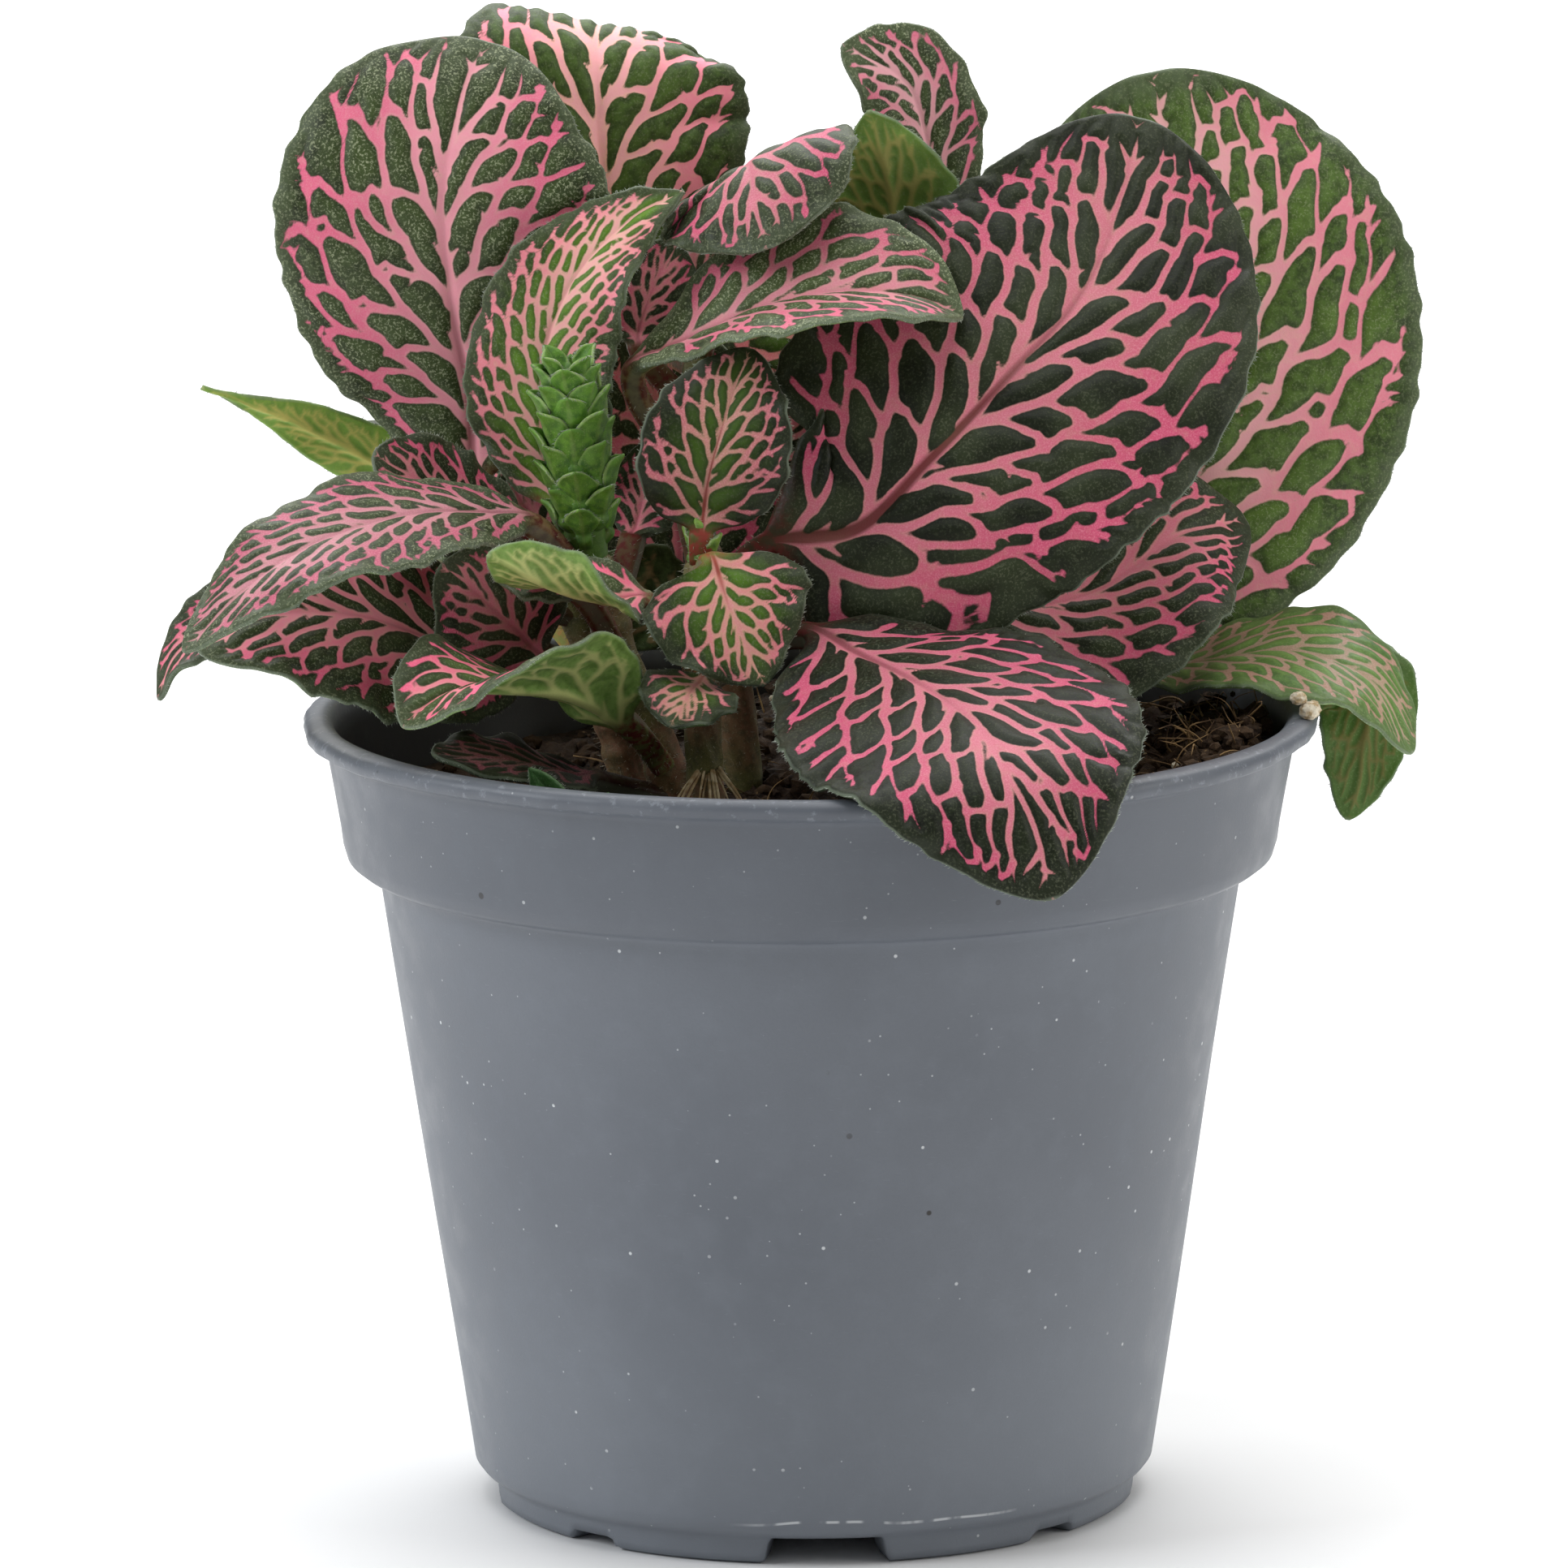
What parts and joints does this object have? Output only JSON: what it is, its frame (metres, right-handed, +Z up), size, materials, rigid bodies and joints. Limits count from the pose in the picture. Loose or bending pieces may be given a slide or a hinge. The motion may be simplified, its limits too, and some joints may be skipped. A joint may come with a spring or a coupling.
{
  "type": "potted plant",
  "caption": "Low leafy houseplant with pink-veined dark green oval leaves, in a small round tapered grey plastic nursery pot with a stepped collar and a rolled rim",
  "frame": {"origin": "middle of the round foot pad under the pot, on the surface that the pot stands on", "axes": "+Z up the pot's axis; -Y towards the plant's best side; +X to the right as seen from there"},
  "size_m": [0.1135, 0.1006, 0.1313],
  "materials": {
    "pot_plastic": "satin, dusty",
    "soil": "rough, damp peat",
    "grain": "rough",
    "leaf_dark": "satin, finely hairy",
    "leaf_fresh": "satin, finely hairy",
    "leaf_pale": "satin, finely hairy",
    "stem": "satin, hairy",
    "spike": "satin, hairy",
    "sprout": "satin"
  },
  "bodies": {
    "root": {"flower_spike": "spike", "grain_front": "grain", "grain_left": "grain", "grain_rim": "grain", "leaf_back_left": "leaf_dark", "leaf_back_right": "leaf_dark", "leaf_beside_spike": "leaf_dark", "leaf_centre_arched": "leaf_dark", "leaf_centre_drooping": "leaf_fresh", "leaf_centre_tall": "leaf_fresh", "leaf_centre_upright": "leaf_fresh", "leaf_crown_arched": "leaf_dark", "leaf_crown_green": "leaf_pale", "leaf_crown_right": "leaf_dark", "leaf_front_right": "leaf_dark", "leaf_heart_dark": "leaf_dark", "leaf_inner_dark": "leaf_dark", "leaf_left_arched": "leaf_dark", "leaf_left_far": "leaf_dark", "leaf_left_inner": "leaf_dark", "leaf_left_low": "leaf_dark", "leaf_left_pointed": "leaf_pale", "leaf_left_tall": "leaf_dark", "leaf_lower_dark": "leaf_dark", "leaf_lower_green": "leaf_pale", "leaf_lower_violet": "leaf_dark", "leaf_rear_left": "leaf_dark", "leaf_rear_low_left": "leaf_dark", "leaf_rear_low_right": "leaf_dark", "leaf_rear_middle": "leaf_dark", "leaf_rear_right": "leaf_dark", "leaf_rear_upright": "leaf_fresh", "leaf_right_hanging": "leaf_pale", "leaf_right_low": "leaf_fresh", "leaf_right_middle": "leaf_dark", "leaf_right_tall": "leaf_dark", "leaf_small_folded": "leaf_pale", "leaf_small_low": "leaf_fresh", "leaf_under_spike": "leaf_dark", "pot": "pot_plastic", "soil": "soil", "sprouts": "sprout", "stem_back": "stem", "stem_centre": "stem", "stem_front": "stem", "stem_left": "stem", "stem_right": "stem", "stem_side": "stem"}
  },
  "joints": []
}
